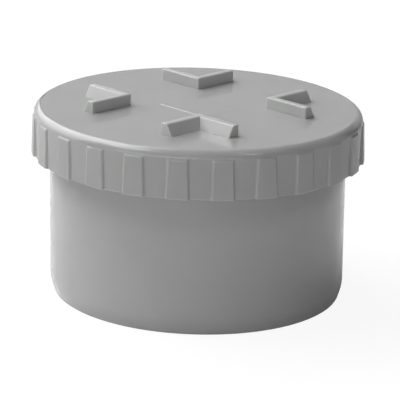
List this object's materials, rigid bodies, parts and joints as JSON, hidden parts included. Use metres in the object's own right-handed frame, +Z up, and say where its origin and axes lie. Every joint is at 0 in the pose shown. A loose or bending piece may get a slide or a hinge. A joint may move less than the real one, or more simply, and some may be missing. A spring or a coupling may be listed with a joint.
{
  "type": "pipe access plug",
  "caption": "Round drain access plug: a spigot for a pipe socket, closed by a screw cap with grip ribs round its skirt and V-shaped driving lugs on top.",
  "frame": {"origin": "centre of the spigot's lower end, where the plug stands", "axes": "+Z up along the pipe's axis to the cap; the two channels between the driving lugs run along X and Y"},
  "size_m": [0.1236, 0.1236, 0.0742],
  "materials": {
    "pvc_body": "moulded, semi-gloss",
    "pvc_cap": "moulded, semi-gloss",
    "rubber": "matt"
  },
  "bodies": {
    "plug_body": {"spigot_body": "pvc_body"},
    "seal_carrier": {"sealing_ring": "rubber"},
    "cap": {"screw_cap": "pvc_cap"}
  },
  "joints": [
    {"name": "seal_lift", "type": "slide", "parent": "plug_body", "child": "seal_carrier", "axis": [0, 0, 1], "range_m": [0, 0.0055]},
    {"name": "cap_turn", "type": "hinge", "parent": "seal_carrier", "child": "cap", "pos_m": [0, 0, 0.0668], "axis": [0, 0, 1], "range_deg": [0, 540]}
  ],
  "couplings": [
    {"joint": "seal_lift", "follows": "cap_turn", "m_per_rad": 0.00057296}
  ]
}
